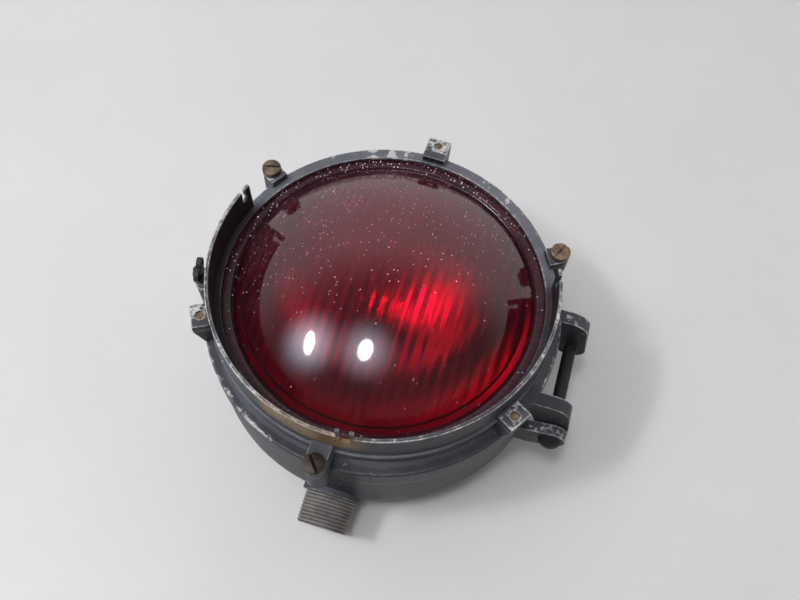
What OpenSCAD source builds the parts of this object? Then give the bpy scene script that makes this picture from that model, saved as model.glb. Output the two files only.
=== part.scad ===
// Railroad signal lamp head with a hinged lens door, lying on its back with the lens up.
// Millimetres. The origin is the middle of the flat back, +Z leaves through the lens, and the
// pipe stem points towards -Y, leaning back a little. In service the lamp hangs from the stem,
// with the collar over its top and the lens looking a little down.

/* [Housing] */
// Outer radius of the drum
housing_r = 113.6; // [105:0.1:125]
// Height of the rim above the flat back
housing_h = 77; // [70:0.5:90]
// Outer radius of the round between drum and back
corner_r = 42; // [30:0.5:50]
// Thickness of the cast wall
housing_wall = 5; // [3:0.5:7]
// Width of the rim that carries the seal
rim_w = 8; // [6:0.5:12]
// Thickness of that rim
rim_t = 7; // [4:0.5:12]

/* [Stem] */
// Height of the stem's axis above the back
stem_z = 28; // [26:0.5:40]
// Outer radius of the pipe nipple, over its thread
stem_r = 16.7; // [12:0.1:18]
// Radius of the reamed mouth of the wireway at the nipple's free end
stem_mouth_r = 13.3; // [9:0.1:14]
// Length of that mouth
stem_mouth_d = 18; // [5:0.5:20]
// Step from the mouth down to the wireway behind it
stem_mouth_step = 0.7; // [0.5:0.1:2]
// Wall of the cast boss round the nipple
stem_boss_wall = 2.5; // [2:0.5:8]
// How far the boss stands out of the drum
stem_boss_out = 0.5; // [0:0.5:8]
// Free length of the nipple beyond the boss
stem_out = 21; // [20:0.5:40]
// Length of the nipple inside the boss and the drum
stem_in = 31; // [30:0.5:36]
// Depth of the thread where the boss grips the nipple
stem_thread_d = 0.8; // [0.4:0.1:1.2]
// Lean of the stem from the plane of the lens towards the back
stem_lean = 9.5; // [0:0.5:12]

/* [Door] */
// How far the door's skirt stands out past the drum
door_over = 0.9; // [0:0.1:2]
// Height of the door, from its lower edge to the front land
door_h = 33; // [28:0.5:40]
// Height of the straight skirt
skirt_h = 17; // [12:0.5:20]
// Height of the sloping shoulder above the skirt
shoulder_h = 4; // [2:0.5:6]
// Wall of the skirt behind the lens pocket
skirt_wall = 5.5; // [4:0.5:8]
// Step from the skirt in to the neck between shoulder and land
neck_in = 7; // [5:0.1:9]
// How far the edge of the front land stands out past the neck
land_over = 1; // [0.5:0.1:2]
// Thickness of the land's edge
land_t = 2; // [1:0.5:4]
// Width of the land, from its edge to the opening in front of the lens
land_w = 7.2; // [6.5:0.1:10]
// Thickness of the lip that the lens bears on
lip_t = 2; // [1.5:0.5:8]
// Thickness of the seal between housing and door
seal_t = 2; // [1:0.5:4]

/* [Hood collar] */
// How far the collar stands inside the land's edge
collar_in = 1.5; // [0:0.1:3]
// Height of the collar above the land
collar_h = 23.4; // [10:0.1:40]
// Thickness of the collar
collar_t = 2.2; // [1.6:0.1:4]
// Angle from the top of the lamp to either end of the collar
collar_end = 72; // [60:1:90]
// Angle of the bottom slot past the bottom of the lamp
bottom_slot_turn = 5.7; // [3.5:0.1:12]
// Width of the bottom slot in the collar's edge
slot_w = 5.5; // [3:0.5:8]
// Depth of the bottom slot below the collar's edge
slot_depth = 6; // [3:0.5:10]
// Width of the two slots near the collar's ends
end_slot_w = 3.4; // [2:0.1:6]
// Radius of the round foot of those slots
end_slot_r = 2.5; // [2:0.1:4]
// Depth of those slots
end_slot_depth = 10.5; // [6:0.5:14]
// Width of the tip left between an end slot and the collar's end
tip_w = 4.5; // [3:0.5:6]
// Width of the two prongs beside the bottom slot
prong_w = 2.4; // [2:0.1:5]
// Height of those prongs above the collar's edge
prong_h = 9; // [1:0.5:12]

/* [Lugs and screws] */
// Turn of the six lugs against the stem
lug_turn = -1.5; // [-4:0.5:4]
// Distance of the lugs' screws outside the land's edge
lug_out = 5; // [4:0.5:9]
// The same for the bottom lug, which stands further out
bottom_lug_out = 11.8; // [5:0.1:14]
// Width of the three plain lugs
lug_w = 15.5; // [13:0.5:20]
// Length of a plain lug past its screw
lug_nose = 5.5; // [5:0.5:10]
// Radius of the round nose of the three lugs that hold screws
ear_nose_r = 6.2; // [5:0.1:8]
// Height of the lugs above the land
lug_rise = 5.5; // [2:0.5:8]
// How far the two upper screws' lugs reach in over the land
lug_grip = 3; // [2:0.5:5]
// Straight height of a lug's nose above its taper
lug_nose_h = 6.5; // [4:0.5:8]
// The same for the bottom lug, whose foot reaches the door's lower edge
bottom_nose_h = 26; // [6:0.5:30]
// Radius of the lugs' screws
screw_r = 2.9; // [2:0.1:3.5]
// Radius of the screws' cheese heads
screw_head_r = 6.2; // [5:0.1:7]
// Height of the screws' heads
screw_head_h = 5; // [3:0.5:7]
// Length of a screw below its head
screw_len = 9; // [7:0.5:10]
// How far the broken screw stubs sit below the lugs' tops
stub_sink = 1.5; // [0.5:0.5:4]

/* [Hinge] */
// Distance of the hinge pin outside the drum
pin_out = 11.4; // [10.4:0.1:18]
// Distance of the hinge pin below the front land
pin_drop = 48; // [46:0.5:56]
// Middle of the hinge along the pin
hinge_mid_y = -6; // [-10:0.5:10]
// Distance between the middles of the door's two arms
arm_pitch = 59.5; // [48:0.5:70]
// Thickness of the door's arms along the pin
arm_t = 9; // [7:0.5:16]
// Thickness of the housing's ears along the pin
ear_t = 7; // [5:0.5:12]
// Radius of the pin
pin_r = 4.25; // [3:0.05:5]
// Radius of the knuckles round the pin
knuckle_r = 10; // [8:0.1:10.5]
// Radius of the pin's domed head
pin_head_r = 7.8; // [6:0.1:9]
// Height of the pin's domed head
pin_head_h = 5.5; // [3:0.5:7]
// How far the pin's plain end stands out of the upper ear
pin_tail = 0.6; // [0:0.1:4]
// Radius of the cross pin that keeps the hinge pin in the upper ear
cross_r = 1.5; // [1:0.1:2]

/* [Latch] */
// Angle of the latch, counted from the hinge side
latch_angle = 191; // [184:0.5:196]
// Distance of the latch screw outside the land's edge
latch_out = 9; // [8.5:0.1:12]
// Height of the latch column on the door
latch_lug_h = 20.4; // [19:0.1:21]
// Radius of the latch column
latch_lug_r = 5; // [4.6:0.1:8]
// Radius of the housing's tapped latch boss
latch_boss_r = 5.2; // [4.6:0.1:8]
// Height of that boss
latch_boss_h = 17; // [14:0.5:24]
// Radius of the wing screw's shank
wing_shank_r = 3.2; // [2.5:0.1:4]
// Travel of the wing screw from backed out to home
wing_travel = 6; // [5:0.5:10]
// Radius of the wing screw's hub
wing_hub_r = 3.6; // [3.4:0.1:6]
// Height of the wing screw's hub
wing_hub_h = 5; // [4:0.5:8]
// Radius of each round wing
wing_lobe_r = 4.1; // [3:0.1:4.2]
// Thickness of the wings
wing_t = 3; // [2:0.5:4]
// Angle of the wings away from the drum's edge
wing_lean = 2; // [0:1:45]
// Thickness of the washer under the hub
washer_t = 1.2; // [0.8:0.1:2]

/* [Lens] */
// How far the lens flange reaches behind the edge of the opening
lens_cover = 3; // [2:0.1:3.2]
// Thickness of the lens flange
lens_flange_t = 8; // [6:0.5:9]
// Width of the lens flange in front, from its edge to the dome
flange_w = 10.7; // [8:0.1:14]
// Rise of the dome above the flange
dome_h = 28; // [15:0.5:35]
// Thickness of the glass in the dome
lens_t = 6.5; // [5:0.5:8]
// Width of the moat between flange and dome
moat_w = 2.2; // [1:0.1:3]
// Depth of the moat
moat_d = 1.6; // [0.5:0.1:3]
// Spacing of the upright flutes inside the dome
flute_pitch = 6.7; // [5:0.1:10]
// Depth of the flutes
flute_d = 1.1; // [0.5:0.1:1.5]
// Thickness of the seal in front of the lens
lens_seal_t = 1; // [0.5:0.1:2]
// Thickness of the cushion behind the lens
cushion_t = 1.5; // [1:0.1:3]
// Radius of the snap ring's wire
snap_r = 1.5; // [1:0.1:2]

/* [Reflector] */
// Focal length of the reflector as a share of its mouth's radius
focal_ratio = 0.4565; // [0.42:0.0005:0.55]
// Gap between the reflector's flange and the housing's rim
reflector_gap = 2.6; // [1:0.1:6]
// Height of the reflector's vertex above the back
vertex_z = 18; // [16:0.5:20]
// Thickness of the reflector
reflector_t = 1; // [0.6:0.1:2]
// Width of the reflector's flange
reflector_flange = 11; // [10:0.5:12]
// Radius of the hole for the lamp socket
reflector_hole_r = 17; // [16:0.5:22]

/* [Lamp] */
// Radius of the porcelain socket base
socket_base_r = 14.5; // [12:0.5:16]
// Height of the porcelain socket base
socket_base_h = 13; // [10:0.5:18]
// Inner radius of the socket's brass shell
socket_r = 9.6; // [8:0.1:11]
// Height of the shell above the porcelain
socket_h = 15; // [12:0.5:20]
// Wall of the shell
socket_wall = 0.8; // [0.5:0.1:1.5]
// Radius of the bulb's brass cap
cap_r = 9.2; // [7:0.1:10]
// Height of the bulb's cap
cap_h = 17; // [12:0.5:24]
// Greatest radius of the bulb
bulb_r = 17.4; // [12:0.1:20]
// Thickness of the bulb's glass
bulb_t = 0.8; // [0.5:0.1:1.2]

/* [Wiring] */
// Distance of the terminal board from the lens axis
board_y = 68; // [66:0.5:70]
// Width of the terminal board
board_w = 46; // [40:1:56]
// Depth of the terminal board
board_d = 18; // [14:0.5:22]
// Height of the terminal board
board_h = 11; // [8:0.5:14]
// Gap between a terminal stud and the head of the board screw beside it
stud_gap = 0.5; // [0.5:0.1:3]
// Radius of a terminal stud
stud_r = 2.4; // [2:0.1:3]
// Height of a terminal stud above the board
stud_h = 14; // [12:0.5:18]
// Radius of the insulated lamp leads
lead_r = 1.6; // [1.2:0.1:2]

/* [Hidden] */
$fn = 96;
eps = 0.01;
// Radial clearance of the pin in the door's arms and of the latch screw in its lug
run_gap = 0.07;
// Radial clearance of pieces that stay put in their holes
seat_gap = 0.05;
// Gap between faces of the door and the housing
face_gap = 0.1;
// Gap along the pin between an arm and its ear
knuckle_gap = 0.4;
// Gap between the door's arms and the drum
drum_gap = 0.9;
// Gap between a turning wing and the land's edge
wing_gap = 0.5;
// Angle of the side of the lamp away from the stem, and of the side with the stem
top_angle = 90;
bottom_angle = top_angle + 180;

door_r = housing_r + door_over;
neck_r = door_r - neck_in;
land_r = neck_r + land_over;
opening_r = land_r - land_w;
collar_r = land_r - collar_in;
lug_r = land_r + lug_out;
bottom_lug_r = land_r + bottom_lug_out;
pin_x = housing_r + pin_out;
latch_r = land_r + latch_out;
wing_reach = latch_out - wing_gap;
lens_r = opening_r + lens_cover;
dome_r = lens_r - flange_w;
mouth_r = housing_r - rim_w - reflector_gap - reflector_flange;
focal = focal_ratio * mouth_r;

door_z = housing_h + seal_t + face_gap;
land_z = door_z + door_h;
collar_z = land_z + collar_h;
lug_z = land_z + lug_rise;
pin_z = land_z - pin_drop;
pocket_r = lens_r + 0.4;
skirt_in_r = door_r - skirt_wall;
inner_r = housing_r - housing_wall;

lip_z = land_z - lip_t;
lens_front_z = lip_z - lens_seal_t;
lens_back_z = lens_front_z - lens_flange_t;
snap_z = lens_back_z - cushion_t - snap_r;
pocket_end_z = snap_z - snap_r - 4;

ball_r = (dome_r * dome_r + dome_h * dome_h) / (2 * dome_h);
ball_z = lens_front_z + dome_h - ball_r;
hollow_r = ball_r - lens_t;
hollow_edge_r = dome_r - lens_t;
flute_r = (flute_pitch * flute_pitch / 4 + flute_d * flute_d) / (2 * flute_d);
flute_count = floor(hollow_edge_r / flute_pitch);

arm_ys = [hinge_mid_y - arm_pitch / 2, hinge_mid_y + arm_pitch / 2];
ear_reach = arm_pitch / 2 + arm_t / 2 + knuckle_gap + ear_t / 2;
ear_ys = [hinge_mid_y - ear_reach, hinge_mid_y + ear_reach];
pin_low_y = ear_ys[0] - ear_t / 2;
pin_high_y = ear_ys[1] + ear_t / 2 + pin_tail;
// Ends of the cross pin, from below the knuckle to past the hinge pin
cross_low_z = pin_z - knuckle_r + 1.2;
cross_high_z = pin_z + pin_r + 2;

washer_z = door_z + latch_lug_h + wing_travel + face_gap;
wing_z = washer_z + washer_t;
wing_tip_z = door_z + 0.3;
latch_hole_depth = wing_travel + 4;

boss_y = housing_r + stem_boss_out;
boss_r = stem_r + stem_boss_wall;
stem_seat_r = stem_r - stem_thread_d;
stem_bore_r = stem_mouth_r - stem_mouth_step;
stem_tip_y = boss_y + stem_out;
stem_end_y = boss_y - stem_in;
bushing_len = 8;
bushing_wall = 2.4;
bushing_lip = 2.5;

function parabola_z(r) = vertex_z + r * r / (4 * focal);
mouth_z = parabola_z(mouth_r);
seat_r = mouth_r + reflector_flange / 2 + 1.5;
seat_angles = [60, 150, 240, 330];
seat_w = 12;
small_screw_r = 1.9;
small_head_r = 3.6;
small_head_h = 2.4;
small_screw_len = 9;

floor_z = housing_wall;
bracket_t = 2;
bracket_w = 20;
bracket_len = 58;
bracket_holes = [for (s = [-1, 1]) [s * (bracket_len / 2 - 6), 0]];
base_z = floor_z + bracket_t;
shell_z = base_z + socket_base_h;
cap_z = shell_z + 2;
bulb_z = vertex_z + focal;
neck_in_r = cap_r - 1.4;
stem_glass_r = 4;
board_pad_h = 2;
board_z = floor_z + board_pad_h;
// Distance of the board's screws from its ends
board_hole_in = 4.5;
board_holes = [for (s = [-1, 1]) [s * (board_w / 2 - board_hole_in), board_y]];
// Depth of the blind screw holes in the housing's floor
floor_hole_d = 3.2;
stud_z = board_z + board_h;
// Distance between the two studs
stud_pitch = 2 * (board_w / 2 - board_hole_in - small_head_r - stud_gap - stud_r);
// Depth of a stud in the board
stud_root = 5;
nut_r = 5;
nut_h = 3.6;
tag_t = 0.8;
// Length of a wire tag's tongue past its ring
tag_tongue = 9;

stub_angles = [90, 210, 330];
screw_angles = [30, 150, 270];
// Directions of the three screws' slots
slot_angles = [65, 15, 130];
function screw_at(a) = a == bottom_angle ? bottom_lug_r : lug_r;
function on_collar(a) = abs(a - top_angle) > collar_end;
// Where a lug's top starts: in the collar, at the opening for the top lug, else on the land
function lug_root(a) = on_collar(a) ? collar_r - collar_t / 2
    : a == top_angle ? opening_r + 1.2 : land_r - lug_grip;

paint = [0.20, 0.21, 0.24];
steel = [0.48, 0.46, 0.43];
brass = [0.55, 0.43, 0.25];
black_rubber = [0.08, 0.08, 0.08];

// Puts a shape drawn in radius and height upright in the plane at an angle, with a thickness
module radial_plate(angle, thickness) {
    rotate([0, 0, angle])
        translate([0, thickness / 2, 0])
            rotate([90, 0, 0])
                linear_extrude(thickness) children();
}

// Puts a shape drawn in X and Z at a place along Y, with a thickness about that place
module plate_at_y(y, thickness) {
    translate([0, y + thickness / 2, 0])
        rotate([90, 0, 0])
            linear_extrude(thickness) children();
}

// Turns the Z axis of a shape to the stem's, so that Z = boss_y is at the boss's face
module along_stem() {
    translate([0, -boss_y, stem_z])
        rotate([90 + stem_lean, 0, 0])
            translate([0, 0, -boss_y]) children();
}

// A flat ring
module ring(r_out, r_in, z, t) {
    translate([0, 0, z])
        difference() {
            cylinder(r = r_out, h = t);
            translate([0, 0, -1]) cylinder(r = r_in, h = t + 2);
        }
}

// Half section of a drum with a flat back and a round edge
module drum_section(r, h, round_r) {
    intersection() {
        union() {
            square([r - round_r, h]);
            translate([0, round_r]) square([r, h - round_r]);
            translate([r - round_r, round_r]) circle(r = round_r);
        }
        square([r, h]);
    }
}

// Bar between two circles, a hair inside their common tangents so that its sides cross the circles
module tangent_bar(c1, r1, c2, r2) {
    hair = 0.02;
    step = c2 - c1;
    lean = atan2(step[1], step[0]);
    open = acos((r1 - r2) / norm(step));
    translate(c1) circle(r = r1);
    translate(c2) circle(r = r2);
    polygon([
        c1 + (r1 - hair) * [cos(lean + open), sin(lean + open)],
        c1 + (r1 - hair) * [cos(lean - open), sin(lean - open)],
        c2 + (r2 - hair) * [cos(lean - open), sin(lean - open)],
        c2 + (r2 - hair) * [cos(lean + open), sin(lean + open)]
    ]);
}

// Tube along hand-chosen points, as one skin of rings with eight sides
module lead_tube(points, r, steps) {
    last = len(points) - 1;
    function at(i) = points[max(0, min(last, i))];
    function spline(i, t) = 0.5 * (2 * at(i) + (at(i + 1) - at(i - 1)) * t
        + (2 * at(i - 1) - 5 * at(i) + 4 * at(i + 1) - at(i + 2)) * t * t
        + (3 * at(i) - at(i - 1) - 3 * at(i + 1) + at(i + 2)) * t * t * t);
    path = [for (i = [0:last - 1]) for (k = [0:steps - 1]) spline(i, k / steps), points[last]];
    count = len(path);
    sides = 8;
    function heading(i) = let (v = path[min(count - 1, i + 1)] - path[max(0, i - 1)]) v / norm(v);
    function across(i) = let (v = cross(heading(i), [0, 0, 1])) v / norm(v);
    verts = [for (i = [0:count - 1]) for (s = [0:sides - 1])
        let (a = 360 * s / sides, u = across(i), v = cross(u, heading(i)))
            path[i] + r * (cos(a) * u + sin(a) * v)];
    walls = [for (i = [0:count - 2]) for (s = [0:sides - 1])
        let (a = i * sides + s, b = i * sides + (s + 1) % sides)
            each [[a, b, b + sides], [a, b + sides, a + sides]]];
    start_cap = [for (s = [1:sides - 2]) [0, s + 1, s]];
    end_cap = [for (s = [1:sides - 2]) let (e = (count - 1) * sides) [e, e + s, e + s + 1]];
    polyhedron(verts, concat(walls, start_cap, end_cap), convexity = 6);
}

// Outer ear of the hinge, from inside the drum's wall to the pin
module housing_ear(y) {
    root_x = sqrt(housing_r * housing_r - pow(abs(y) + ear_t / 2, 2)) - housing_wall / 2 + knuckle_r;
    plate_at_y(y, ear_t)
        difference() {
            union() {
                tangent_bar([root_x, pin_z - 4], knuckle_r, [pin_x, pin_z], knuckle_r - 0.5);
                translate([root_x - knuckle_r, pin_z - 4 - knuckle_r])
                    square([knuckle_r, 2 * knuckle_r]);
            }
            translate([pin_x, pin_z]) circle(r = pin_r + seat_gap);
        }
}

// Tapped boss under the door's latch lug, with a web down the drum
module latch_boss() {
    root_r = housing_r - housing_wall / 2;
    radial_plate(latch_angle, latch_boss_r)
        polygon([[root_r, housing_h], [latch_r, housing_h], [latch_r, housing_h - latch_boss_h],
            [housing_r, housing_h - 2 * latch_boss_h], [root_r, housing_h - 2 * latch_boss_h]]);
    rotate([0, 0, latch_angle])
        translate([latch_r, 0, housing_h - latch_boss_h])
            cylinder(r = latch_boss_r, h = latch_boss_h);
}

// Seat on the drum's inner wall for the reflector's flange
module reflector_seat(angle) {
    wall_r = inner_r + housing_wall / 2;
    seat_in_r = seat_r - small_head_r - 1;
    seat_h = 12;
    radial_plate(angle, seat_w)
        polygon([[seat_in_r, mouth_z], [wall_r, mouth_z], [wall_r, mouth_z - seat_h - 9],
            [inner_r - 1, mouth_z - seat_h - 9], [seat_in_r, mouth_z - seat_h]]);
}

module housing() {
    inlet_y = boss_y - 13;
    color(paint)
    difference() {
        union() {
            difference() {
                union() {
                    rotate_extrude() drum_section(housing_r, housing_h, corner_r);
                    along_stem() cylinder(r = boss_r, h = boss_y);
                    latch_boss();
                    for (y = ear_ys) housing_ear(y);
                }
                translate([0, 0, housing_wall])
                    rotate_extrude()
                        drum_section(inner_r, housing_h, corner_r - housing_wall);
            }
            ring(inner_r + 1, housing_r - rim_w, housing_h - rim_t, rim_t);
            intersection() {
                along_stem() translate([0, 0, inlet_y]) cylinder(r = boss_r, h = boss_y - inlet_y);
                rotate_extrude() drum_section(inner_r + 1, housing_h, corner_r);
            }
            for (a = seat_angles) reflector_seat(a);
            translate([-board_w / 2, board_y - board_d / 2, floor_z - 1])
                cube([board_w, board_d, board_pad_h + 1]);
        }
        along_stem() translate([0, 0, stem_end_y]) cylinder(r = stem_seat_r + seat_gap, h = stem_in + 1);
        rotate([0, 0, latch_angle])
            translate([latch_r, 0, housing_h - latch_hole_depth])
                cylinder(r = wing_shank_r + run_gap, h = latch_hole_depth + 1);
        translate([pin_x, ear_ys[1], pin_z - 2 * knuckle_r])
            cylinder(r = cross_r + seat_gap, h = cross_high_z - pin_z + 2 * knuckle_r + seat_gap);
        for (a = seat_angles)
            rotate([0, 0, a])
                translate([seat_r, 0, mouth_z - small_screw_len])
                    cylinder(r = small_screw_r + seat_gap, h = small_screw_len + 1);
        for (p = concat(bracket_holes, board_holes))
            translate([p[0], p[1], floor_z - floor_hole_d])
                cylinder(r = small_screw_r + seat_gap, h = floor_hole_d + board_pad_h + 1);
    }
}

module stem_nipple() {
    chamfer = 0.8;
    color(steel)
    along_stem()
        rotate_extrude()
            polygon([[stem_bore_r, stem_end_y], [stem_seat_r, stem_end_y], [stem_seat_r, boss_y],
                [stem_r, boss_y], [stem_r, stem_tip_y - chamfer], [stem_r - chamfer / 2, stem_tip_y],
                [stem_mouth_r, stem_tip_y], [stem_mouth_r, stem_tip_y - stem_mouth_d],
                [stem_bore_r, stem_tip_y - stem_mouth_d]]);
}

module stem_bushing() {
    color([0.30, 0.18, 0.11])
    along_stem()
        translate([0, 0, stem_end_y - bushing_lip])
            difference() {
                cylinder(r = stem_r + bushing_wall, h = bushing_len);
                translate([0, 0, bushing_lip])
                    cylinder(r = stem_seat_r + seat_gap, h = bushing_len);
                translate([0, 0, -1]) cylinder(r = stem_bore_r, h = bushing_len);
            }
}

module door_seal() {
    color(black_rubber)
    ring(housing_r - 1, housing_r - rim_w + 1, housing_h, seal_t);
}

module hinge_pin() {
    dome_ball = (pin_head_r * pin_head_r + pin_head_h * pin_head_h) / (2 * pin_head_h);
    color(steel)
    difference() {
        union() {
            translate([pin_x, pin_high_y, pin_z])
                rotate([90, 0, 0]) cylinder(r = pin_r, h = pin_high_y - pin_low_y + 1);
            intersection() {
                translate([pin_x, pin_low_y - pin_head_h + dome_ball, pin_z]) sphere(r = dome_ball);
                translate([pin_x, pin_low_y, pin_z])
                    rotate([90, 0, 0]) cylinder(r = pin_head_r + 1, h = pin_head_h + 1);
            }
        }
        translate([pin_x, ear_ys[1], pin_z - 2 * pin_r])
            cylinder(r = cross_r + seat_gap, h = 4 * pin_r);
    }
}

module cross_pin() {
    color(steel)
    translate([pin_x, ear_ys[1], cross_low_z]) cylinder(r = cross_r, h = cross_high_z - cross_low_z);
}

module reflector() {
    steps = 14;
    rs = [for (i = [0:steps]) reflector_hole_r + (mouth_r - reflector_hole_r) * i / steps];
    inside = [for (r = rs) [r, parabola_z(r) + reflector_t]];
    outside = [for (i = [steps:-1:0]) [rs[i], parabola_z(rs[i])]];
    lip = [[mouth_r + reflector_flange, mouth_z + reflector_t], [mouth_r + reflector_flange, mouth_z]];
    color([0.80, 0.80, 0.82])
    difference() {
        rotate_extrude() polygon(concat(inside, lip, outside));
        for (a = seat_angles)
            rotate([0, 0, a])
                translate([seat_r, 0, mouth_z - 1])
                    cylinder(r = small_screw_r + 0.3, h = reflector_t + 2);
    }
}

// Round-headed screw standing on Z = 0 with its shank below
module round_screw(head_r, head_h, shank_r, shank_len) {
    slot = 0.9;
    difference() {
        union() {
            cylinder(r = head_r, h = head_h);
            translate([0, 0, -shank_len]) cylinder(r = shank_r, h = shank_len + eps);
        }
        translate([-head_r - 1, -slot / 2, head_h * 0.55]) cube([2 * head_r + 2, slot, head_h]);
    }
}

module reflector_screws() {
    color(brass)
    for (a = seat_angles)
        rotate([0, 0, a])
            translate([seat_r, 0, mouth_z + reflector_t])
                round_screw(small_head_r, small_head_h, small_screw_r, small_screw_len - 1);
}

module socket_bracket() {
    color(steel)
    difference() {
        union() {
            translate([bracket_holes[0][0], -bracket_w / 2, floor_z])
                cube([bracket_holes[1][0] - bracket_holes[0][0], bracket_w, bracket_t]);
            for (p = bracket_holes)
                translate([p[0], p[1], floor_z]) cylinder(r = bracket_w / 2, h = bracket_t);
        }
        for (p = bracket_holes)
            translate([p[0], p[1], floor_z - 1]) cylinder(r = small_screw_r + 0.3, h = bracket_t + 2);
    }
}

module bracket_screws() {
    color(brass)
    for (p = bracket_holes)
        translate([p[0], p[1], base_z])
            round_screw(small_head_r, small_head_h, small_screw_r, bracket_t + floor_hole_d - 0.2);
}

module socket_base() {
    foot_h = 4;
    color([0.86, 0.84, 0.78])
    translate([0, 0, base_z])
        rotate_extrude()
            polygon([[0, 0], [socket_base_r, 0], [socket_base_r, foot_h],
                [socket_base_r - 2, foot_h + 2], [socket_base_r - 2, socket_base_h], [0, socket_base_h]]);
}

module socket_shell() {
    gate_w = 2.6;
    gate_h = 8;
    color(brass)
    translate([0, 0, shell_z])
        difference() {
            cylinder(r = socket_r + socket_wall, h = socket_h);
            translate([0, 0, socket_wall]) cylinder(r = socket_r, h = socket_h);
            translate([-socket_r - 2, -gate_w / 2, socket_h - gate_h])
                cube([2 * socket_r + 4, gate_w, gate_h + 1]);
        }
}

module bulb_cap() {
    pin_len = 1;
    color(brass)
    translate([0, 0, cap_z]) {
        difference() {
            cylinder(r = cap_r, h = cap_h);
            translate([0, 0, cap_h - 3]) cylinder(r = neck_in_r + bulb_t + seat_gap, h = 4);
        }
        translate([0, 0, -1.1]) cylinder(r = 3, h = 1.2);
        translate([-cap_r - pin_len, 0, cap_h - 9])
            rotate([0, 90, 0]) cylinder(r = 1, h = 2 * (cap_r + pin_len));
    }
}

module bulb_glass() {
    neck_z = cap_z + cap_h - 3;
    color([0.92, 0.92, 0.90, 0.4])
    rotate_extrude()
        difference() {
            union() {
                intersection() {
                    translate([0, bulb_z]) circle(r = bulb_r);
                    translate([0, bulb_z - bulb_r]) square([bulb_r, 2 * bulb_r]);
                }
                translate([0, neck_z]) square([neck_in_r + bulb_t, bulb_z - neck_z]);
            }
            intersection() {
                translate([0, bulb_z]) circle(r = bulb_r - bulb_t);
                translate([0, bulb_z - bulb_r]) square([bulb_r, 2 * bulb_r]);
            }
            translate([-1, neck_z + bulb_t]) square([neck_in_r + 1, bulb_z - neck_z]);
        }
}

module bulb_stem() {
    wire_r = 0.4;
    stem_foot_z = cap_z + cap_h - 3 + bulb_t;
    stem_top_z = bulb_z - 12;
    color([0.85, 0.87, 0.86])
    union() {
        translate([0, 0, stem_foot_z]) cylinder(r = stem_glass_r, h = stem_top_z - stem_foot_z);
        for (s = [-1, 1])
            translate([s * stem_glass_r * 0.6, 0, stem_top_z - 1])
                cylinder(r = wire_r, h = bulb_z - stem_top_z + 1 - 0.6);
    }
}

module filament() {
    coil_r = 0.6;
    color([0.25, 0.24, 0.23])
    translate([-stem_glass_r * 0.6 - 1, 0, bulb_z])
        rotate([0, 90, 0]) cylinder(r = coil_r, h = stem_glass_r * 1.2 + 2);
}

module terminal_board() {
    fence_t = 2.4;
    fence_h = 6;
    color([0.16, 0.11, 0.09])
    difference() {
        union() {
            translate([-board_w / 2, board_y - board_d / 2, board_z]) cube([board_w, board_d, board_h]);
            translate([-fence_t / 2, board_y - board_d / 2, stud_z - 1])
                cube([fence_t, board_d, fence_h + 1]);
        }
        for (p = board_holes)
            translate([p[0], p[1], board_z - 1]) {
                cylinder(r = small_screw_r + 0.3, h = board_h + 2);
                translate([0, 0, board_h - small_head_h]) cylinder(r = small_head_r + 0.3, h = board_h);
            }
        for (s = [-1, 1])
            translate([s * stud_pitch / 2, board_y, stud_z - stud_root])
                cylinder(r = stud_r + seat_gap, h = stud_root + 1);
    }
}

module board_screws() {
    head_z = stud_z - small_head_h - 1;
    color(brass)
    for (p = board_holes)
        translate([p[0], p[1], head_z])
            round_screw(small_head_r, small_head_h, small_screw_r, head_z - floor_z + floor_hole_d - 0.2);
}

module terminal_studs() {
    color(brass)
    for (s = [-1, 1])
        translate([s * stud_pitch / 2, board_y, stud_z - stud_root])
            cylinder(r = stud_r, h = stud_root + stud_h);
}

// Nut pairs: one under the wire tag and one above it
module terminal_nuts() {
    color(brass)
    for (s = [-1, 1])
        for (z = [stud_z, stud_z + nut_h + tag_t])
            translate([s * stud_pitch / 2, board_y, z])
                difference() {
                    cylinder(r = nut_r, h = nut_h, $fn = 6);
                    translate([0, 0, -1]) cylinder(r = stud_r + seat_gap, h = nut_h + 2);
                }
}

module wire_tags() {
    color([0.62, 0.52, 0.36])
    for (s = [-1, 1])
        translate([s * stud_pitch / 2, board_y, stud_z + nut_h])
            difference() {
                union() {
                    cylinder(r = nut_r, h = tag_t);
                    translate([-lead_r, -nut_r - tag_tongue, 0])
                        cube([2 * lead_r, nut_r + tag_tongue, tag_t]);
                }
                translate([0, 0, -1]) cylinder(r = stud_r + seat_gap, h = tag_t + 2);
            }
}

module lamp_leads() {
    tag_y = board_y - nut_r - tag_tongue / 3;
    tag_end_y = board_y - nut_r - tag_tongue - seat_gap;
    lead_top = stud_z + nut_h - lead_r;
    end_x = 6;
    end_y = sqrt(pow(socket_base_r, 2) - pow(end_x - lead_r, 2)) + seat_gap;
    end_z = base_z + 3;
    color([0.10, 0.09, 0.08])
    for (s = [-1, 1])
        lead_tube([[s * stud_pitch / 2, tag_y, lead_top], [s * stud_pitch / 2, tag_end_y, lead_top],
            [s * stud_pitch / 2, tag_end_y - 3, lead_top],
            [s * stud_pitch * 0.46, tag_end_y - 10, (lead_top + end_z) / 2],
            [s * stud_pitch * 0.38, tag_end_y - 19, end_z + 0.8],
            [s * (end_x + 1), end_y + 10, end_z], [s * end_x, end_y, end_z]], lead_r, 3);
}

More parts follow.
